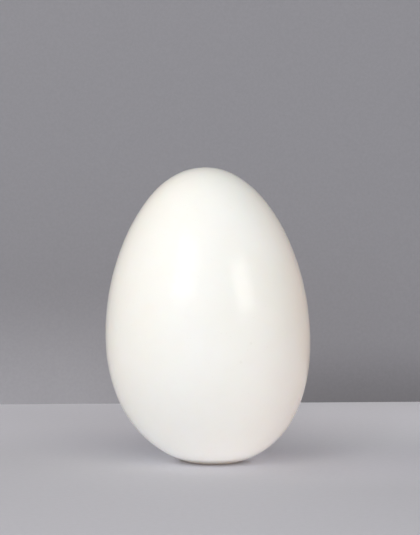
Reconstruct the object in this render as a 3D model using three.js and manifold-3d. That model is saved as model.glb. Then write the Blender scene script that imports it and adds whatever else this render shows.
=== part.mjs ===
// A whole ostrich egg, standing on its blunt end with the pointed end up, on a small flat spot.
// Millimetres, +Z up. The origin is the middle of the flat spot, in the plane that the egg stands on.
import * as THREE from "three";
import { mergeVertices } from "three/addons/utils/BufferGeometryUtils.js";
import Module from "manifold-3d";

// Driving dimensions of the egg, before the flat spot is cut.
const longAxis = 166.6; // from the blunt pole to the pointed pole
const breadth = 114.5; // across the widest section
const taper = 11.4; // how strongly one end is drawn out to a point: 0 is an ellipse
const fullness = 0.486; // exponent of the outline: 0.5 is an ellipse, less is blunter at the poles
const sideBow = -2.1; // how far the middle of the egg bows sideways off the straight long axis
const bluntBow = 1.75; // how much more it bows towards the blunt end than towards the point

// How the egg stands.
const leanDeg = 3.7; // the point leans this far towards -X
const flatDepth = 1.4; // the flat spot is this far above the lowest point of the whole egg

// Fineness of the faceted surface.
const ringCount = 46; // rings of faces from pole to pole
const sideCount = 76; // faces around a ring

// Radius of the round section at a distance along the long axis, measured from its middle.
// The blunt end is at -longAxis / 2.
function sectionRadius(along) {
  const lengthSquared = longAxis ** 2;
  const ratio =
    (lengthSquared - 4 * along ** 2) /
    (lengthSquared + 8 * taper * along + 4 * taper ** 2);
  return (breadth / 2) * Math.max(0, ratio) ** fullness;
}

// Sideways place of a section's centre: zero at both poles.
function sectionOffset(along) {
  const share = (2 * along) / longAxis;
  return (1 - share ** 2) * (sideBow + bluntBow * share);
}

// The outline from the blunt pole to the pointed pole, with rings closer together near the poles.
function outline() {
  const points = [];
  for (let ring = 0; ring <= ringCount; ring++) {
    const along = (-longAxis / 2) * Math.cos((Math.PI * ring) / ringCount);
    const onAxis = ring === 0 || ring === ringCount;
    points.push(new THREE.Vector2(onAxis ? 0 : sectionRadius(along), along));
  }
  return points;
}

// The whole egg: the outline turned about its long axis, bowed, leaned over and set down
// so that the plane of the flat spot is z = 0.
function wholeEgg() {
  const egg = new THREE.LatheGeometry(outline(), sideCount);
  egg.rotateX(Math.PI / 2); // three.js turns a lathe about Y
  const place = egg.getAttribute("position");
  for (let i = 0; i < place.count; i++) {
    place.setX(i, place.getX(i) + sectionOffset(place.getZ(i)));
  }
  egg.rotateY(THREE.MathUtils.degToRad(-leanDeg));
  egg.computeBoundingBox();
  egg.translate(0, 0, -egg.boundingBox.min.z - flatDepth);
  return egg;
}

// What is cut away under the flat spot.
function blockBelowFloor() {
  const block = new THREE.BoxGeometry(breadth, breadth, 2 * flatDepth);
  block.translate(0, 0, -flatDepth);
  return block;
}

const wasm = await Module();
wasm.setup();

function solidOf(geometry) {
  const shape = geometry.clone();
  shape.deleteAttribute("normal");
  shape.deleteAttribute("uv");
  const merged = mergeVertices(shape, 1e-3);
  return new wasm.Manifold(
    new wasm.Mesh({
      numProp: 3,
      vertProperties: merged.getAttribute("position").array,
      triVerts: new Uint32Array(merged.index.array),
    }),
  );
}

function geometryOf(solid) {
  const mesh = solid.getMesh();
  const geometry = new THREE.BufferGeometry();
  geometry.setAttribute(
    "position",
    new THREE.BufferAttribute(new Float32Array(mesh.vertProperties), 3),
  );
  geometry.setIndex(new THREE.BufferAttribute(mesh.triVerts, 1));
  return geometry;
}

// Puts the middle of the flat spot on the Z axis.
function centreOnFlat(geometry) {
  const place = geometry.getAttribute("position");
  const flat = new THREE.Box3();
  const corner = new THREE.Vector3();
  for (let i = 0; i < place.count; i++) {
    corner.fromBufferAttribute(place, i);
    if (Math.abs(corner.z) < 1e-4) flat.expandByPoint(corner);
  }
  const middle = flat.getCenter(new THREE.Vector3());
  geometry.translate(-middle.x, -middle.y, 0);
  return geometry;
}

const standingEgg = centreOnFlat(
  geometryOf(solidOf(wholeEgg()).subtract(solidOf(blockBelowFloor()))),
);
standingEgg.computeVertexNormals();

const shellMaterial = new THREE.MeshStandardMaterial({
  color: new THREE.Color().setRGB(0.95, 0.94, 0.91, THREE.SRGBColorSpace),
  roughness: 0.4,
  metalness: 0,
});

const egg = new THREE.Mesh(standingEgg, shellMaterial);
egg.name = "ostrich_egg";

const part = new THREE.Group();
part.add(egg);

export default part;
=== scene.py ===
# A whole ostrich egg standing on the small flat spot at its blunt end, on a pale floor before a wall.
# Metres, +Z up. The origin is the middle of the flat spot.
import math
import bpy
import numpy as np
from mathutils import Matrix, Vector


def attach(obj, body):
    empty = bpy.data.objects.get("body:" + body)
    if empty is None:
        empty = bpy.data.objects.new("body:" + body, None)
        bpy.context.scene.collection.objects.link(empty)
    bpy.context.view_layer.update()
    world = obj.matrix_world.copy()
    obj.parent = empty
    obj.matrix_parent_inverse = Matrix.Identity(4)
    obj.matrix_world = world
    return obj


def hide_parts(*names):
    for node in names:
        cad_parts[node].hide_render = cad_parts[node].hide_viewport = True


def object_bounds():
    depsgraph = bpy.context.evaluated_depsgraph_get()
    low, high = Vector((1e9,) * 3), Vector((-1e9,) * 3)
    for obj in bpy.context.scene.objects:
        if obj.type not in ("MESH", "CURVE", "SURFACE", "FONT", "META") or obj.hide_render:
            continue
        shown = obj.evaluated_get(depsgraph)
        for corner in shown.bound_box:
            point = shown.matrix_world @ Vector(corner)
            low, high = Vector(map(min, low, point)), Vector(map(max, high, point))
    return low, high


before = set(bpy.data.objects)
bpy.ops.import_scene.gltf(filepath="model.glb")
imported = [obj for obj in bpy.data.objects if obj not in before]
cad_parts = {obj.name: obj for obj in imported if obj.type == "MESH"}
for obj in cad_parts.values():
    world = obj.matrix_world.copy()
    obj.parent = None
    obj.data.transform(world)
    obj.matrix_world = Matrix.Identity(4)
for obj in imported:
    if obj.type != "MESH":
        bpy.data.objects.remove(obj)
cadLow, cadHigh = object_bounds()
scene = bpy.context.scene
print("frame loaded, CAD box", tuple(cadLow), tuple(cadHigh))


# ---- camera: first, so that the picture's frame is settled
cameraSetup = {
    "focalLength": 179.7,  # mm
    "sensor": 36,  # mm on its long side
    "place": (-0.0017, -1.4883, 0.2120),
    "aim": (-0.0021, 0.0, 0.10907),  # the point in the middle of the picture
    "nearest": 0.05,  # what is closer, or further than farthest, isn't drawn
    "farthest": 30,
}


def addCamera(setup):
    data = bpy.data.cameras.new("camera")
    data.lens = setup["focalLength"]
    data.sensor_width = setup["sensor"]
    data.clip_start = setup["nearest"]
    data.clip_end = setup["farthest"]
    camera = bpy.data.objects.new("camera", data)
    camera.location = setup["place"]
    looking = Vector(setup["aim"]) - Vector(setup["place"])
    camera.rotation_euler = looking.to_track_quat("-Z", "Y").to_euler()
    scene.collection.objects.link(camera)
    scene.camera = camera


addCamera(cameraSetup)
print("camera placed")


# ---- the egg's form
eggForm = {
    "longAxis": 0.1666,  # blunt pole to pointed pole, before the flat spot
    "breadth": 0.1145,  # across the widest section
    "taper": 0.0114,  # how strongly one end is drawn out to a point
    "fullness": 0.486,  # exponent of the outline, 0.5 for an ellipse
    "sideBow": -0.0021,  # how far the middle bows sideways off the long axis
    "bluntBow": 0.00175,  # how much more it bows towards the blunt end
    "leanDeg": 3.7,  # the point leans this far towards -X
    "flatDepth": 0.0014,  # the flat spot is this far above the lowest point of the whole egg
    "flatWear": 0.00022,  # half the height over which the flat spot's edge is worn round
    "rings": 300,  # of faces, from pole to pole
    "sides": 320,  # of each ring
}

# Natural unevenness of the shell: a few slow swells and many shallow dimples.
shellRelief = {
    "swell": {"height": 0.00007, "longest": 0.075, "shortest": 0.030, "waves": 14, "seed": 5},
    "dimple": {"height": 0.000006, "longest": 0.0090, "shortest": 0.0048, "waves": 60, "seed": 11},
}


# Sum of plane waves of random direction, length and phase, scaled to a root mean square of height:
# h * sqrt(2 / n) * sum of cos(2 pi (d . p) / length + phase). It has no seam and no pole.
def waveField(points, height, longest, shortest, waves, seed):
    draw = np.random.default_rng(seed)
    directions = draw.normal(size=(waves, 3))
    directions /= np.linalg.norm(directions, axis=1, keepdims=True)
    lengths = draw.uniform(shortest, longest, waves)
    phases = draw.uniform(0, 2 * np.pi, waves)
    total = np.zeros(points.shape[:-1])
    for direction, length, phase in zip(directions, lengths, phases):
        total += np.cos(2 * np.pi * (points @ direction) / length + phase)
    return total * height * math.sqrt(2 / waves)


# Grid of points on the whole egg. Along the long axis x runs from -L/2 to L/2 as -L/2 cos t, and
# around it by the angle a. The section there is a circle of radius
# B/2 * ((L^2 - 4x^2) / (L^2 + 8wx + 4w^2))^n, and its centre is moved sideways by
# (1 - s^2)(bow + bluntBow s), with s = 2x/L.
def wholeEggGrid(form):
    t = np.linspace(0, np.pi, form["rings"] + 1)[:, None]
    a = np.linspace(0, 2 * np.pi, form["sides"], endpoint=False)[None, :]
    length, taper = form["longAxis"], form["taper"]
    x = -length / 2 * np.cos(t)
    share = 2 * x / length
    ratio = (length**2 - 4 * x**2) / (length**2 + 8 * taper * x + 4 * taper**2)
    radius = form["breadth"] / 2 * np.maximum(ratio, 0) ** form["fullness"]
    radius[[0, -1]] = 0
    sideways = (1 - share**2) * (form["sideBow"] + form["bluntBow"] * share)
    return np.stack([radius * np.cos(a) + sideways, radius * np.sin(a), x + 0 * a], axis=-1)


# Outward unit normals of a grid that is closed around its second index: the cross product of the
# step around and the step along, and straight down and straight up at the two poles.
def gridNormals(grid):
    around = np.roll(grid, -1, axis=1) - np.roll(grid, 1, axis=1)
    along = np.gradient(grid, axis=0)
    normals = np.cross(around, along)
    normals[0] = (0, 0, -1)
    normals[-1] = (0, 0, 1)
    return normals / np.linalg.norm(normals, axis=-1, keepdims=True)


# Turns a grid about Y, so that its +Z end leans towards -X.
def leanOver(grid, degrees):
    angle = math.radians(degrees)
    x, y, z = np.moveaxis(grid, -1, 0)
    leaned = [
        x * math.cos(angle) - z * math.sin(angle),
        y,
        x * math.sin(angle) + z * math.cos(angle),
    ]
    return np.stack(leaned, axis=-1)


# Height above the floor with everything below it pressed flat. Within wear of the floor the height
# follows (z + wear)^2 / (4 wear), which meets the flat and the free shell without a crease.
def pressFlat(z, wear):
    soft = (z + wear) ** 2 / (4 * wear)
    return np.where(z > wear, z, np.where(z < -wear, 0, soft))


# A mesh from a grid closed around its second index, with each pole one vertex and a fan of triangles.
def meshFromGrid(name, grid):
    rings, sides = grid.shape[0] - 1, grid.shape[1]
    inner = grid[1:-1].reshape(-1, 3)
    points = np.concatenate([inner, grid[0, :1], grid[-1, :1]])
    bluntPole, pointedPole = len(inner), len(inner) + 1
    here = np.arange(sides)
    after = (here + 1) % sides
    row = np.arange(rings - 2)[:, None] * sides
    quads = np.stack([row + here, row + after, row + sides + after, row + sides + here], axis=-1)
    last = (rings - 2) * sides
    bluntFan = np.stack([after, here, np.full(sides, bluntPole)], axis=-1)
    pointedFan = np.stack([last + here, last + after, np.full(sides, pointedPole)], axis=-1)
    faces = quads.reshape(-1, 4).tolist() + bluntFan.tolist() + pointedFan.tolist()
    mesh = bpy.data.meshes.new(name)
    mesh.from_pydata(points, [], faces)
    mesh.polygons.foreach_set("use_smooth", np.ones(len(faces), bool))
    mesh.update()
    return mesh


def makeEgg(form, relief):
    whole = wholeEggGrid(form)
    uneven = waveField(whole, **relief["swell"]) + waveField(whole, **relief["dimple"])
    standing = leanOver(whole, form["leanDeg"])
    lowest = standing[..., 2].min()
    # The sideways place is the CAD solid's, whose flat spot is centred on the origin.
    widest = (standing[..., 0].min() + standing[..., 0].max()) / 2
    shift = np.array([(cadLow.x + cadHigh.x) / 2 - widest, 0, -lowest - form["flatDepth"]])
    shell = standing + shift + gridNormals(standing) * uneven[..., None]
    shell[..., 2] = pressFlat(shell[..., 2], form["flatWear"])
    shell[0] = shell[0].mean(axis=0)
    shell[-1] = shell[-1].mean(axis=0)
    egg = bpy.data.objects.new("eggShell", meshFromGrid("eggShell", shell))
    scene.collection.objects.link(egg)
    return egg


egg = makeEgg(eggForm, shellRelief)
print("egg made,", len(egg.data.vertices), "points")


# ---- small helpers for materials
def newMaterial(name):
    material = bpy.data.materials.new(name)
    material.use_nodes = True
    tree = material.node_tree
    tree.nodes.clear()
    output = tree.nodes.new("ShaderNodeOutputMaterial")
    return material, tree, output


# Adds a node. Each setting is (socket, value or the output that feeds it).
def addNode(tree, kind, settings=(), **properties):
    node = tree.nodes.new(kind)
    for key, value in properties.items():
        setattr(node, key, value)
    for socket, value in settings:
        if isinstance(value, bpy.types.NodeSocket):
            tree.links.new(value, node.inputs[socket])
        else:
            node.inputs[socket].default_value = value
    return node


# Object coordinates, moved so that the pattern's origin is at centre.
def patternPlace(tree, centre):
    coordinates = addNode(tree, "ShaderNodeTexCoord")
    away = tuple(-c for c in centre)
    mapping = addNode(
        tree, "ShaderNodeMapping", [("Vector", coordinates.outputs["Object"]), ("Location", away)]
    )
    return mapping.outputs["Vector"]


# Noise from 0 to 1, in cells per metre.
def noise(tree, place, pattern):
    node = addNode(
        tree,
        "ShaderNodeTexNoise",
        [
            ("Vector", place),
            ("Scale", pattern["scale"]),
            ("Detail", pattern["detail"]),
            ("Roughness", pattern["roughness"]),
        ],
    )
    return node.outputs["Fac"]


# Value carried smoothly from one range to another and held at its ends.
def mapped(tree, value, low, high, newLow=0.0, newHigh=1.0):
    node = addNode(
        tree,
        "ShaderNodeMapRange",
        [
            ("Value", value),
            ("From Min", low),
            ("From Max", high),
            ("To Min", newLow),
            ("To Max", newHigh),
        ],
        interpolation_type="SMOOTHSTEP",
    )
    return node.outputs["Result"]


# Soft blotches: noise of which a pattern's own range is carried to the range from least to most.
def blotches(tree, place, pattern, least=0.0, most=1.0):
    return mapped(tree, noise(tree, place, pattern), *pattern["range"], least, most)


def combine(tree, operation, first, second):
    node = addNode(tree, "ShaderNodeMath", [(0, first), (1, second)], operation=operation)
    return node.outputs["Value"]


# The first colour, carried towards the second by share. This node's sockets go by number, because
# it has several of the same name: 0 is the share, 6 and 7 are the colours and 2 is the mixed colour.
def mixColour(tree, share, first, second):
    node = addNode(tree, "ShaderNodeMix", data_type="RGBA")
    for index, value in ((0, share), (6, first), (7, second)):
        if isinstance(value, bpy.types.NodeSocket):
            tree.links.new(value, node.inputs[index])
        elif index == 0:
            node.inputs[index].default_value = value
        else:
            node.inputs[index].default_value = (*value, 1)
    return node.outputs[2]


# ---- the shell's finish
shellFinish = {
    "cream": (0.868, 0.856, 0.808),  # clean shell, linear
    "ivory": (0.858, 0.842, 0.780),  # slow warmer clouds
    "stain": (0.720, 0.640, 0.520),  # faint old stains
    "stainShare": 0.035,
    "roughness": (0.13, 0.17),
    "patternCentre": (0, 0, 0.08),
    "clouds": {"scale": 16, "detail": 3.0, "roughness": 0.5, "range": (0.38, 0.68)},
    "mottle": {"scale": 95, "detail": 4.0, "roughness": 0.6, "range": (0.42, 0.72)},
    "gloss": {"scale": 47.5, "detail": 3.0, "roughness": 0.5, "range": (0.3, 0.7)},
    "grain": {"scale": 1600, "detail": 3.0, "roughness": 0.5},
    "grainDepth": 0.000003,
    "refraction": 1.5,
    "glow": {"share": 0.12, "tint": (1.0, 0.55, 0.28), "depth": 0.006},  # light from inside the shell
}

shellPores = {
    "tone": (0.600, 0.530, 0.430),
    "share": 0.22,  # of the tone that shows in the deepest pores
    "scale": 420,  # cells per metre, with one pore in each
    "radius": 0.17,  # share of a cell
    "depth": 0.00003,
    "dullness": 0.12,  # roughness that a pore adds
    "crowding": {"scale": 210, "detail": 2.0, "roughness": 0.5, "range": (0.40, 0.62)},
    "sparsest": 0.15,  # share of the pores' strength that is left where they are weakest
}

shellSpecks = {
    "tone": (0.350, 0.290, 0.230),
    "share": 0.09,  # of the tone that shows in the middle of a speck
    "spots": [  # place on the shell and radius
        ((-0.0441, -0.0152, 0.1312), 0.0009),
        ((0.0200, -0.0523, 0.0716), 0.0012),
        ((0.0146, -0.0541, 0.0615), 0.0012),
        ((-0.0400, -0.0385, 0.0810), 0.0007),
        ((0.0160, -0.0480, 0.1110), 0.0006),
        ((0.0480, 0.0240, 0.0620), 0.0011),
        ((-0.0180, 0.0500, 0.1010), 0.0008),
        ((0.0100, 0.0550, 0.0560), 0.0007),
        ((-0.0560, 0.0120, 0.0690), 0.0009),
    ],
}

# The foot ring is soil and painted contact shadow: its brown darkens the shell where the egg meets the
# floor.
shellWearAndShade = {
    "soilAndShade": (0.27, 0.205, 0.145),
    "height": 0.0045,  # how far the dull ring of soil and painted contact shadow reaches above the floor
    "leastInMottle": 0.8,  # share of the ring where the mottling is weakest
    "innerRadius": 0.004,  # the middle of the flat spot has less of the ring up to here
    "outerRadius": 0.0115,  # and the ring is full from here outwards
    "leastInside": 0.28,  # share of the ring in the middle of the flat spot
    "dullness": 0.2,  # roughness that full wear adds
}


# Pores: a dot in each cell of a fine pattern, deeper and darker in some regions than others.
def poreStrength(tree, place, pores):
    cells = addNode(tree, "ShaderNodeTexVoronoi", [("Vector", place), ("Scale", pores["scale"])])
    dots = mapped(tree, cells.outputs["Distance"], pores["radius"], 0.0)
    crowding = blotches(tree, place, pores["crowding"], pores["sparsest"])
    return combine(tree, "MULTIPLY", dots, crowding)


# Specks: small faint dots with soft edges, laid over the colour one after another.
def addSpecks(tree, coordinates, colour, specks):
    for centre, radius in specks["spots"]:
        gap = addNode(
            tree, "ShaderNodeVectorMath", [(0, coordinates), (1, centre)], operation="DISTANCE"
        )
        mask = mapped(tree, gap.outputs["Value"], radius, 0.0, 0.0, specks["share"])
        colour = mixColour(tree, mask, colour, specks["tone"])
    return colour


# Wear and painted contact shadow in a low ring around the flat spot, weaker in its middle and broken up
# by the mottling.
def wearAndShadeStrength(tree, coordinates, mottle, wear):
    apart = addNode(tree, "ShaderNodeSeparateXYZ", [("Vector", coordinates)])
    ring = mapped(tree, apart.outputs["Z"], wear["height"], 0.0)
    uneven = mapped(tree, mottle, 0.0, 1.0, wear["leastInMottle"])
    level = addNode(tree, "ShaderNodeCombineXYZ", [("X", apart.outputs["X"]), ("Y", apart.outputs["Y"])])
    offCentre = addNode(tree, "ShaderNodeVectorMath", [(0, level.outputs[0])], operation="LENGTH")
    inside = mapped(
        tree,
        offCentre.outputs["Value"],
        wear["innerRadius"],
        wear["outerRadius"],
        wear["leastInside"],
    )
    return combine(tree, "MULTIPLY", combine(tree, "MULTIPLY", ring, uneven), inside)


def shellMaterial(finish, pores, specks, wear):
    material, tree, output = newMaterial("ostrichShell")
    place = patternPlace(tree, finish["patternCentre"])
    coordinates = addNode(tree, "ShaderNodeTexCoord").outputs["Object"]
    mottle = blotches(tree, place, finish["mottle"])
    inPore = poreStrength(tree, place, pores)
    wornAndShaded = wearAndShadeStrength(tree, coordinates, mottle, wear)

    clouds = blotches(tree, place, finish["clouds"])
    stained = combine(tree, "MULTIPLY", mottle, finish["stainShare"])
    poreShare = combine(tree, "MULTIPLY", inPore, pores["share"])
    colour = mixColour(tree, clouds, finish["cream"], finish["ivory"])
    colour = mixColour(tree, stained, colour, finish["stain"])
    colour = mixColour(tree, poreShare, colour, pores["tone"])
    colour = addSpecks(tree, coordinates, colour, specks)
    # Painted contact shadow: the ring at the foot is carried towards a dark brown that stands in for the
    # shade under the egg, as well as soil.
    colour = mixColour(tree, wornAndShaded, colour, wear["soilAndShade"])

    # The gloss is a little uneven, and dull in the pores and in the ring at the foot.
    roughness = blotches(tree, place, finish["gloss"], *finish["roughness"])
    for strength, dullness in ((inPore, pores["dullness"]), (wornAndShaded, wear["dullness"])):
        roughness = combine(tree, "ADD", roughness, combine(tree, "MULTIPLY", strength, dullness))

    pitting = addNode(
        tree,
        "ShaderNodeBump",
        [("Strength", 1.0), ("Distance", pores["depth"]), ("Height", inPore)],
        invert=True,
    )
    grain = addNode(
        tree,
        "ShaderNodeBump",
        [
            ("Strength", 1.0),
            ("Distance", finish["grainDepth"]),
            ("Height", noise(tree, place, finish["grain"])),
            ("Normal", pitting.outputs["Normal"]),
        ],
    )
    surface = addNode(
        tree,
        "ShaderNodeBsdfPrincipled",
        [
            ("Base Color", colour),
            ("Roughness", roughness),
            ("IOR", finish["refraction"]),
            ("Normal", grain.outputs["Normal"]),
            ("Subsurface Weight", finish["glow"]["share"]),
            ("Subsurface Radius", finish["glow"]["tint"]),
            ("Subsurface Scale", finish["glow"]["depth"]),
        ],
    )
    tree.links.new(surface.outputs["BSDF"], output.inputs["Surface"])
    return material


egg.data.materials.append(shellMaterial(shellFinish, shellPores, shellSpecks, shellWearAndShade))
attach(egg, "root")
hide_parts("ostrich_egg")
print("shell finished")


# ---- stage: a pale floor that ends at a plain wall behind the egg
stageSetup = {
    "wallAt": 0.2735,  # behind the middle of the flat spot
    "wallTurn": 0.05,  # how much further back it stands for each metre to the right
    "front": -4.0,
    "halfWidth": 2.0,
    "wallHeight": 2.0,
    "paper": {"roughness": 0.75, "sheen": 0.25},
    "floor": {
        "tone": (0.573, 0.570, 0.616),
        "fleck": {"scale": 300, "detail": 4.0, "roughness": 0.65, "range": (0.3, 0.7)},
        "fleckShare": 0.03,
        # Each patch is painted light or shade: it carries the paper towards a lighter or darker tone,
        # and is full where both ramps end.
        "paintedLightAndShade": [
            # painted light: lifts the egg's shadow on the floor to its right
            {"tone": (0.648, 0.645, 0.698), "x": (0.02, 0.10), "y": (-0.12, -0.01)},
            {"tone": (0.740, 0.735, 0.795), "y": (-0.02, 0.17)},  # painted light: paler towards the wall, lifting the shade where floor meets wall
            # painted light: paler still behind the egg on the right
            {"tone": (0.868, 0.862, 0.925), "x": (0.0, 0.08), "y": (0.05, 0.22)},
        ],
    },
    "wall": {
        "tone": (0.282, 0.272, 0.285),
        "fleck": {"scale": 520, "detail": 4.0, "roughness": 0.65, "range": (0.3, 0.7)},
        "fleckShare": 0.05,
        "paintedLightAndShade": [
            # painted light: lighter low on the left
            {"tone": (0.395, 0.382, 0.398), "x": (0.03, -0.10), "z": (0.085, 0.0)},
            # painted shadow: the egg's shadow, darker low on the right
            {"tone": (0.204, 0.195, 0.203), "x": (-0.02, 0.08), "z": (0.045, -0.004)},
        ],
    },
    "ambient": (0.295, 0.293, 0.305),
}


# Matt paper with a faint fleck and with patches of painted light and shade. Seen from its back it isn't
# there, so that it hides nothing.
def paperMaterial(name, sheetSetup, finish):
    material, tree, output = newMaterial(name)
    place = patternPlace(tree, (0, 0, 0))
    apart = addNode(tree, "ShaderNodeSeparateXYZ", [("Vector", place)])
    colour = sheetSetup["tone"]
    # Painted light and shade: each patch makes the paper lighter or darker where light or shadow falls.
    for paintedPatch in sheetSetup["paintedLightAndShade"]:
        share = 1.0
        for axis in ("x", "y", "z"):
            if axis in paintedPatch:
                ramp = mapped(tree, apart.outputs[axis.upper()], *paintedPatch[axis])
                share = combine(tree, "MULTIPLY", ramp, share)
        colour = mixColour(tree, share, colour, paintedPatch["tone"])
    fleck = blotches(tree, place, sheetSetup["fleck"])
    depth = combine(tree, "MULTIPLY", fleck, sheetSetup["fleckShare"])
    paper = addNode(
        tree,
        "ShaderNodeBsdfPrincipled",
        [
            ("Base Color", mixColour(tree, depth, colour, (0, 0, 0))),
            ("Roughness", finish["roughness"]),
            ("Specular IOR Level", finish["sheen"]),
        ],
    )
    back = addNode(tree, "ShaderNodeNewGeometry")
    clear = addNode(tree, "ShaderNodeBsdfTransparent")
    oneSided = addNode(
        tree,
        "ShaderNodeMixShader",
        [
            (0, back.outputs["Backfacing"]),
            (1, paper.outputs["BSDF"]),
            (2, clear.outputs["BSDF"]),
        ],
    )
    tree.links.new(oneSided.outputs["Shader"], output.inputs["Surface"])
    return material


def stageSheet(name, corners, material):
    mesh = bpy.data.meshes.new(name)
    mesh.from_pydata(corners, [], [tuple(range(len(corners)))])
    mesh.materials.append(material)
    sheet = bpy.data.objects.new(name, mesh)
    scene.collection.objects.link(sheet)


def makeStage(setup):
    side, front, top = setup["halfWidth"], setup["front"], setup["wallHeight"]
    leftBack = setup["wallAt"] - setup["wallTurn"] * side
    rightBack = setup["wallAt"] + setup["wallTurn"] * side
    stageSheet(
        "floor",
        [(-side, front, 0), (side, front, 0), (side, rightBack, 0), (-side, leftBack, 0)],
        paperMaterial("floorPaper", setup["floor"], setup["paper"]),
    )
    stageSheet(
        "wall",
        [(-side, leftBack, 0), (side, rightBack, 0), (side, rightBack, top), (-side, leftBack, top)],
        paperMaterial("wallPaper", setup["wall"], setup["paper"]),
    )
    world = bpy.data.worlds.new("room")
    world.use_nodes = True
    background = world.node_tree.nodes["Background"]
    background.inputs["Color"].default_value = (*setup["ambient"], 1)
    background.inputs["Strength"].default_value = 1.0
    scene.world = world


makeStage(stageSetup)
print("stage set")


# ---- studio light
# Every lamp is a soft flat panel. Places and sizes are in metres, brightness is per square metre and
# solid angle, so a panel that is made larger gives more light. The mirrored ones show in the gloss.
# Those for the egg only stand in for light that the room and the table throw back at it.
# Most brightnesses and tones weren't set by hand: a separate fitting script solved them by least
# squares. Those of left, leftBack and sideLeft were changed after that, and those of stripRight and
# underFoot were set one by one.
lamps = {
    "softboxLeft": {
        "place": (-0.519, -0.937, 0.724), "aim": (0, 0, 0.08), "size": (0.554, 0.670),
        "brightness": 1.85, "tone": (1.0, 1.0, 1.0), "mirrored": True,
    },
    "softboxRight": {
        "place": (0.805, -0.834, 0.548), "aim": (0, 0, 0.08), "size": (0.486, 0.531),
        "brightness": 2.2, "tone": (1.0, 1.0, 1.0), "mirrored": True,
    },
    "frontHigh": {
        "place": (0, -2.3, 1.3), "aim": (0, 0, 1.3), "size": (3.2, 1.6),
        "brightness": 1.78, "tone": (0.96, 0.994, 1.0),
    },
    "frontMiddle": {
        "place": (0, -2.3, 0.45), "aim": (0, 0, 0.45), "size": (3.2, 0.8),
        "brightness": 1.59, "tone": (0.553, 0.77, 1.0),
    },
    "overhead": {
        "place": (0, -0.705, 1.051), "aim": (0, 0, 0.08), "size": (1.019, 0.467),
        "brightness": 1.27, "tone": (1.0, 0.908, 0.611),
    },
    "left": {
        "place": (-1.3, -0.7, 0.8), "aim": (0, -0.7, 0.8), "size": (1.8, 1.0),
        "brightness": 0.82, "tone": (1.0, 0.68, 0.80),
    },
    "leftBack": {
        "place": (-1.15, 0, 0.68), "aim": (0, 0, 0.55), "size": (0.6, 1.0),
        "brightness": 1.11, "tone": (0.81, 1.0, 0.60),
    },
    "sideLeft": {
        "place": (-0.50, -0.04, 0.18), "aim": (0, 0, 0.08), "size": (0.34, 0.45),
        "brightness": 0.93, "tone": (1.0, 0.92, 0.80), "eggOnly": True,
    },
    "stripRight": {
        "place": (0.30, 0.25, 0.11), "aim": (0, 0, 0.08), "size": (0.1, 0.20),
        "brightness": 3.7, "tone": (1.0, 0.56, 0.22), "eggOnly": True,
    },
    "underFoot": {
        "place": (0.003, -0.048, -0.03), "aim": (0.003, -0.032, 0.005), "size": (0.09, 0.02),
        "brightness": 0.2, "tone": (1.0, 0.97, 1.0), "eggOnly": True,
    },
    "underTable": {
        "place": (0, 0, -0.2), "aim": (0, 0, 0.08), "size": (0.5, 0.5),
        "brightness": 0.283, "tone": (1.0, 0.94, 0.60), "eggOnly": True,
    },
    "underTableBack": {
        "place": (0, 0.08, -0.2), "aim": (0, 0.08, 0), "size": (0.45, 0.24),
        "brightness": 1.1, "tone": (0.645, 0.745, 1.0), "eggOnly": True,
    },
    "underTableRight": {
        "place": (0.5, -0.2, -0.25), "aim": (0, 0, 0.03), "size": (0.5, 0.8),
        "brightness": 0.432, "tone": (1.0, 0.374, 0.01), "eggOnly": True,
    },
}


def addLamp(name, lamp, eggGroup):
    data = bpy.data.lights.new(name, "AREA")
    data.shape = "RECTANGLE"
    data.size, data.size_y = lamp["size"]
    data.energy = math.pi * data.size * data.size_y * lamp["brightness"]
    data.color = lamp["tone"]
    # Beside lamps that are linked to one object, this sampling of the others would add false light.
    data.cycles.use_multiple_importance_sampling = lamp.get("eggOnly", False)
    lampObject = bpy.data.objects.new(name, data)
    lampObject.location = lamp["place"]
    facing = Vector(lamp["aim"]) - Vector(lamp["place"])
    lampObject.rotation_euler = facing.to_track_quat("-Z", "Y").to_euler()
    lampObject.visible_camera = False
    lampObject.visible_glossy = lamp.get("mirrored", False)
    if lamp.get("eggOnly"):
        lampObject.light_linking.receiver_collection = eggGroup
    if lamp["place"][2] < 0:
        lampObject.light_linking.blocker_collection = eggGroup  # the table isn't in its way
    scene.collection.objects.link(lampObject)


def lightEgg(panels):
    eggGroup = bpy.data.collections.new("litAlone")
    eggGroup.objects.link(egg)
    for name, lamp in panels.items():
        addLamp(name, lamp, eggGroup)


lightEgg(lamps)
scene.view_settings.view_transform = "Standard"
print("lamps placed")
